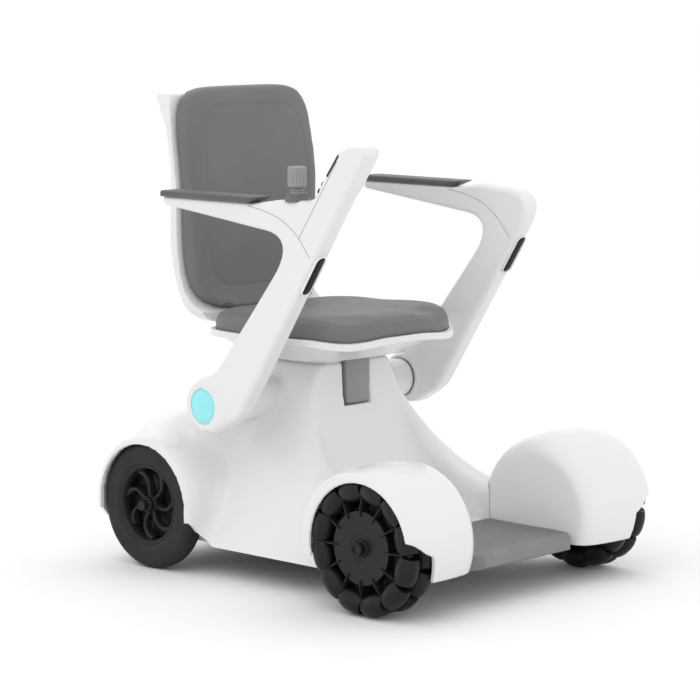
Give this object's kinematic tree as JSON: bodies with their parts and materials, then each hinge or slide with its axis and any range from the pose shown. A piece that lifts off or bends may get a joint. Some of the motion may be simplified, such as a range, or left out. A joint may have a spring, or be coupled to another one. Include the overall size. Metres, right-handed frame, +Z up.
{
  "type": "power wheelchair",
  "caption": "Indoor power wheelchair with omni front wheels, drive rear wheels, ribbed footplate, lifting pedestal seat, reclining back and swing-up arms with joystick and console.",
  "frame": {"origin": "on the floor, in the middle of the outer box", "axes": "+Z up, the front of the chair faces -Y, +X is the sitter's left"},
  "size_m": [0.698, 0.882, 0.93],
  "materials": {
    "white_shell": "glossy white moulded plastic",
    "frame_metal": "satin grey powder coat",
    "bracket_grey": "satin mid grey powder coat",
    "black_plastic": "matt black",
    "battery_case": "matt, fine texture",
    "wheel_black": "satin black glass-filled nylon",
    "tyre_rubber": "solid polyurethane tyre, satin",
    "roller_rubber": "moulded rubber",
    "cushion_grey": "integral-skin polyurethane, fine grain",
    "pad_grey": "integral-skin polyurethane, fine grain",
    "teal_light": "back-lit teal diffuser",
    "lamp_lens": "smoked lens",
    "screen_glass": "black display glass",
    "knob_grey": "ribbed light grey rubber",
    "button_grey": "soft-touch grey",
    "footplate_grey": "ribbed anti-slip polymer"
  },
  "bodies": {
    "chassis": {"chassis_frame": "frame_metal", "base_shell": "white_shell", "front_cover": "white_shell", "pedestal_cap": "white_shell", "belly_plate": "black_plastic", "battery_pack": "battery_case", "motor_controller": "black_plastic", "drive_motor_left": "black_plastic", "drive_motor_right": "black_plastic", "front_fender_left": "white_shell", "front_fender_right": "white_shell", "footplate": "footplate_grey", "front_axle_left": "frame_metal", "front_axle_right": "frame_metal", "lift_column": "frame_metal", "arm_pivot_left": "white_shell", "arm_pivot_right": "white_shell", "charge_socket": "black_plastic"},
    "seat": {"seat_post": "frame_metal", "seat_bracket": "bracket_grey", "seat_pan": "white_shell", "seat_cushion": "cushion_grey", "hinge_pin": "frame_metal"},
    "backrest": {"back_bracket": "bracket_grey", "back_shell": "white_shell", "back_cushion": "cushion_grey"},
    "joystick_ring": {"joystick_gimbal": "frame_metal"},
    "joystick": {"joystick_stick": "black_plastic", "joystick_knob": "knob_grey"},
    "rear_wheel_left": {"rear_rim_left": "wheel_black", "rear_tyre_left": "tyre_rubber", "rear_cap_left": "wheel_black"},
    "front_wheel_left": {"omni_hub_left": "wheel_black", "omni_rollers_outer_left": "roller_rubber", "omni_rollers_inner_left": "roller_rubber", "omni_cap_left": "wheel_black"},
    "arm_left": {"arm_beam_left": "white_shell", "arm_pad_left": "pad_grey", "hub_light_left": "teal_light", "lamp_bezel_left": "black_plastic", "lamp_lens_left": "lamp_lens"},
    "rear_wheel_right": {"rear_rim_right": "wheel_black", "rear_tyre_right": "tyre_rubber", "rear_cap_right": "wheel_black"},
    "front_wheel_right": {"omni_hub_right": "wheel_black", "omni_rollers_outer_right": "roller_rubber", "omni_rollers_inner_right": "roller_rubber", "omni_cap_right": "wheel_black"},
    "arm_right": {"arm_beam_right": "white_shell", "arm_pad_right": "pad_grey", "hub_light_right": "teal_light", "lamp_bezel_right": "black_plastic", "lamp_lens_right": "lamp_lens", "console_housing": "white_shell", "console_screen": "screen_glass", "joystick_base": "black_plastic"},
    "button_power": {"button_power": "button_grey"},
    "button_horn": {"button_horn": "button_grey"},
    "button_faster": {"button_faster": "button_grey"},
    "button_slower": {"button_slower": "button_grey"}
  },
  "joints": [
    {"name": "rear_wheel_left_spin", "type": "hinge", "parent": "chassis", "child": "rear_wheel_left", "pos_m": [0.2865, 0.303, 0.125], "axis": [1, 0, 0], "continuous": true},
    {"name": "front_wheel_left_spin", "type": "hinge", "parent": "chassis", "child": "front_wheel_left", "pos_m": [0.3, -0.295, 0.127], "axis": [1, 0, 0], "continuous": true},
    {"name": "arm_left_swing", "type": "hinge", "parent": "chassis", "child": "arm_left", "pos_m": [0.28, 0.146, 0.334], "axis": [-1, 0, 0], "range_deg": [0, 60]},
    {"name": "rear_wheel_right_spin", "type": "hinge", "parent": "chassis", "child": "rear_wheel_right", "pos_m": [-0.2865, 0.303, 0.125], "axis": [1, 0, 0], "continuous": true},
    {"name": "front_wheel_right_spin", "type": "hinge", "parent": "chassis", "child": "front_wheel_right", "pos_m": [-0.3, -0.295, 0.127], "axis": [1, 0, 0], "continuous": true},
    {"name": "arm_right_swing", "type": "hinge", "parent": "chassis", "child": "arm_right", "pos_m": [-0.28, 0.146, 0.334], "axis": [-1, 0, 0], "range_deg": [0, 60]},
    {"name": "seat_lift", "type": "slide", "parent": "chassis", "child": "seat", "axis": [0, 0, 1], "range_m": [0, 0.05]},
    {"name": "back_recline", "type": "hinge", "parent": "seat", "child": "backrest", "pos_m": [0, 0.321, 0.472], "axis": [-1, 0, 0], "range_deg": [0, 30]},
    {"name": "joystick_side", "type": "hinge", "parent": "arm_right", "child": "joystick_ring", "pos_m": [-0.28, -0.083, 0.746], "axis": [0, 1, 0], "range_deg": [-18, 18], "stiffness_Nm_per_rad": 0.3},
    {"name": "joystick_fore", "type": "hinge", "parent": "joystick_ring", "child": "joystick", "pos_m": [-0.28, -0.083, 0.746], "axis": [1, 0, 0], "range_deg": [-18, 18], "stiffness_Nm_per_rad": 0.3},
    {"name": "button_power_press", "type": "slide", "parent": "arm_right", "child": "button_power", "axis": [0, -0.8059, -0.592], "range_m": [0, 0.0015], "stiffness_N_per_m": 400},
    {"name": "button_horn_press", "type": "slide", "parent": "arm_right", "child": "button_horn", "axis": [0, -0.8059, -0.592], "range_m": [0, 0.0015], "stiffness_N_per_m": 400},
    {"name": "button_faster_press", "type": "slide", "parent": "arm_right", "child": "button_faster", "axis": [0, -0.8059, -0.592], "range_m": [0, 0.0015], "stiffness_N_per_m": 400},
    {"name": "button_slower_press", "type": "slide", "parent": "arm_right", "child": "button_slower", "axis": [0, -0.8059, -0.592], "range_m": [0, 0.0015], "stiffness_N_per_m": 400}
  ]
}
